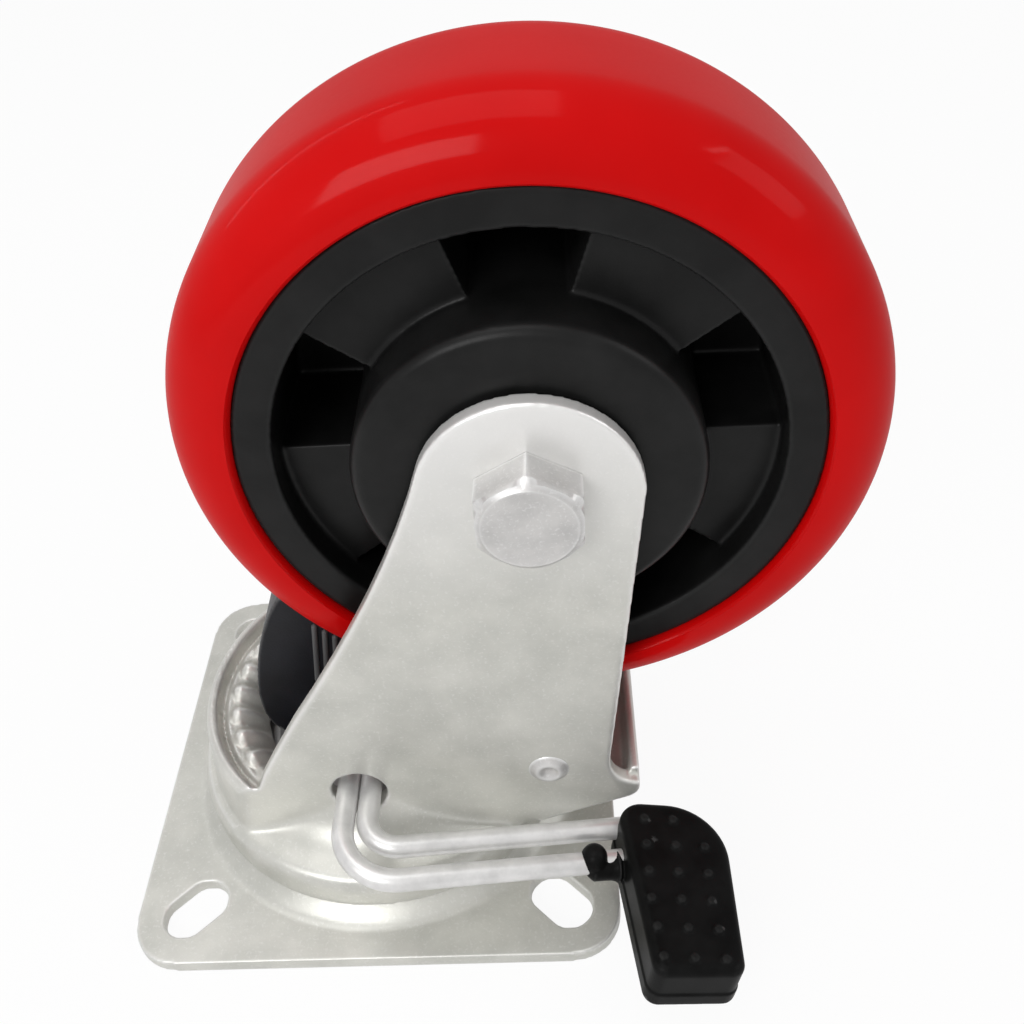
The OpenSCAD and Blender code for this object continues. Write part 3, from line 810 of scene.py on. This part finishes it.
# Ribs on each face of the cam, side by side up to the hollow along the tread
def camRibs(form):
    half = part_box("brake_cam")[1].y / mm
    hollow = treadSize.x / 2 + form["ribClear"]
    ribs = []
    for k in range(form["ribs"]):
        x, z = form["ribStart"][0] + k * form["ribPitch"], form["ribStart"][1]
        away = Vector((x - axleSpot.x, z - axleSpot.z))
        along = Vector((form["ribLean"], 1)).normalized()
        reach = -away.dot(along) - math.sqrt(max(0.0, away.dot(along) ** 2 - away.length_squared + hollow ** 2))
        if reach < form["shortest"]:
            continue
        for side in (-1, 1):
            face = side * half
            route = [(x + along.x * reach * t, face, z + along.y * reach * t) for t in (0, 0.5, 1)]
            ribs.append(bar("camRib", route, form["ribWidth"] / 2, 16))
    return ribs


def makeCam(form):
    piece = cadCopy("brakeCam", "brake_cam")
    soften(piece, form["voxel"], form["rounds"], form["keep"])
    ribs = camRibs(form)
    if ribs:
        piece = join("brakeCam", [piece] + ribs)
    return dress(piece, "brake", "black_nylon", "brake_cam")


makeWire(leverForm)
makePad(padForm)
makeCam(camForm)
makeWasher("leverWasher", "lever_washer", 6.0, "brake")
print("brake made")

# The pieces inside the hub and the head keep their solids and take the bearing finish
for node in ("main_balls", "lower_balls", "axle_sleeve", "hub_spacers", "bearing_inner_rings", "bearing_balls",
             "bearing_outer_rings", "bearing_shields"):
    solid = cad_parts[node]
    solid.data.materials.clear()
    solid.data.materials.append(finishes["bearing_steel"])
print("inside finished")


stageLook = {"floorSize": 8.0, "floorColour": (0.90, 0.90, 0.90, 1), "lift": 0.93, "worldLight": 0.40,
             "floorGloss": 0.45, "worldGloss": 0.55}


# Mixes in the stage's white for what the camera sees, and a share of it for reflections and glass
def paleStage(shader, shaded, glow, lift, gloss):
    def ray(kind):
        return shader.node("ShaderNodeLightPath", {}, {}, kind)
    mirrored = ray("Is Glossy Ray").sum("MAXIMUM", ray("Is Glossy Ray"), ray("Is Transmission Ray"))
    share = ray("Is Camera Ray") * lift + mirrored * gloss
    return shader.node("ShaderNodeMixShader", {}, {0: share, 1: shaded, 2: glow})


def makeStage(look):
    half = look["floorSize"] / 2
    mesh = bpy.data.meshes.new("studioFloor")
    corners = [(-half, -half, 0), (half, -half, 0), (half, half, 0), (-half, half, 0)]
    mesh.from_pydata(corners, [], [(0, 1, 2, 3)])
    floor = bpy.data.objects.new("studioFloor", mesh)
    bpy.context.scene.collection.objects.link(floor)
    paint = Finish("studioFloor", Roughness=0.85)
    paint.set("Base Color", look["floorColour"])
    glow = paint.node("ShaderNodeEmission", {}, {"Strength": 1.0})
    shown = paleStage(paint, Value(paint, paint.surface.outputs[0]), glow, look["lift"], look["floorGloss"])
    paint.feed(paint.tree.nodes["Material Output"].inputs["Surface"], shown)
    floor.data.materials.append(paint.material)
    world = bpy.data.worlds.new("studio")
    bpy.context.scene.world = world
    world.use_nodes = True
    sky = Shader(world.node_tree)
    light = sky.node("ShaderNodeBackground", {}, {"Color": (1, 1, 1, 1), "Strength": look["worldLight"]})
    white = sky.node("ShaderNodeBackground", {}, {"Color": (1, 1, 1, 1), "Strength": 1.0})
    shown = paleStage(sky, light, white, 1.0, look["worldGloss"])
    sky.feed(sky.tree.nodes["World Output"].inputs["Surface"], shown)


# An area lamp at a spot, aimed at a point, with its long side along a direction
def addLamp(name, spot, aim, along, size, power):
    data = bpy.data.lights.new(name, "AREA")
    data.shape = "RECTANGLE"
    data.size, data.size_y = size
    data.energy = power
    lamp = bpy.data.objects.new(name, data)
    bpy.context.scene.collection.objects.link(lamp)
    back = (Vector(spot) - Vector(aim)).normalized()
    side = Vector(along)
    side = (side - back * side.dot(back)).normalized()
    turn = Matrix((side, back.cross(side), back)).transposed().to_4x4()
    lamp.matrix_world = Matrix.Translation(spot) @ turn
    return lamp


lamps = {
    "ceilingLamp": {"spot": (-0.15, -0.05, 1.2), "aim": (0.03, 0, 0.05), "along": (1, 0, 0),
                    "size": (0.8, 0.8), "power": 3.6},
    "frontLamp": {"spot": (-0.38, -0.80, 0.72), "aim": (0.0, 0, 0.06), "along": (1, 0, 0),
                  "size": (0.6, 0.45), "power": 4.8},
    "rightLamp": {"spot": (0.95, -0.2, 0.65), "aim": (0.03, 0, 0.1), "along": (0, 1, 0),
                  "size": (0.5, 0.4), "power": 1.1},
    "leftStrip": {"spot": (-0.60, 0.41, 0.65), "aim": (0.0, -0.02, 0.18), "along": (0.73, 0.2, 0.66),
                  "size": (0.75, 0.012), "power": 0.28},
    "rightStrip": {"spot": (0.75, -0.11, 0.79), "aim": (0.08, -0.02, 0.19), "along": (0, 1, -0.3),
                   "size": (0.3, 0.012), "power": 0.14},
}

cameraForm = {
    "spot": (0.0537, -0.2030, 0.2748), "right": (0.99789, 0.00706, -0.06447), "up": (0.04361, 0.66260, 0.74775),
    "ahead": (-0.0480, 0.7490, -0.6609), "lens": 40.13,
}


def makeCamera(form):
    data = bpy.data.cameras.new("camera")
    data.lens = form["lens"]
    data.sensor_width = 36
    data.clip_start = 0.01
    camera = bpy.data.objects.new("camera", data)
    bpy.context.scene.collection.objects.link(camera)
    right, up, back = Vector(form["right"]), Vector(form["up"]), -Vector(form["ahead"])
    turn = Matrix((right, up, back)).transposed().to_4x4()
    camera.matrix_world = Matrix.Translation(form["spot"]) @ turn
    bpy.context.scene.camera = camera


makeStage(stageLook)
for name, values in lamps.items():
    addLamp(name, **values)
makeCamera(cameraForm)
bpy.context.scene.view_settings.view_transform = "Standard"
print("stage made")
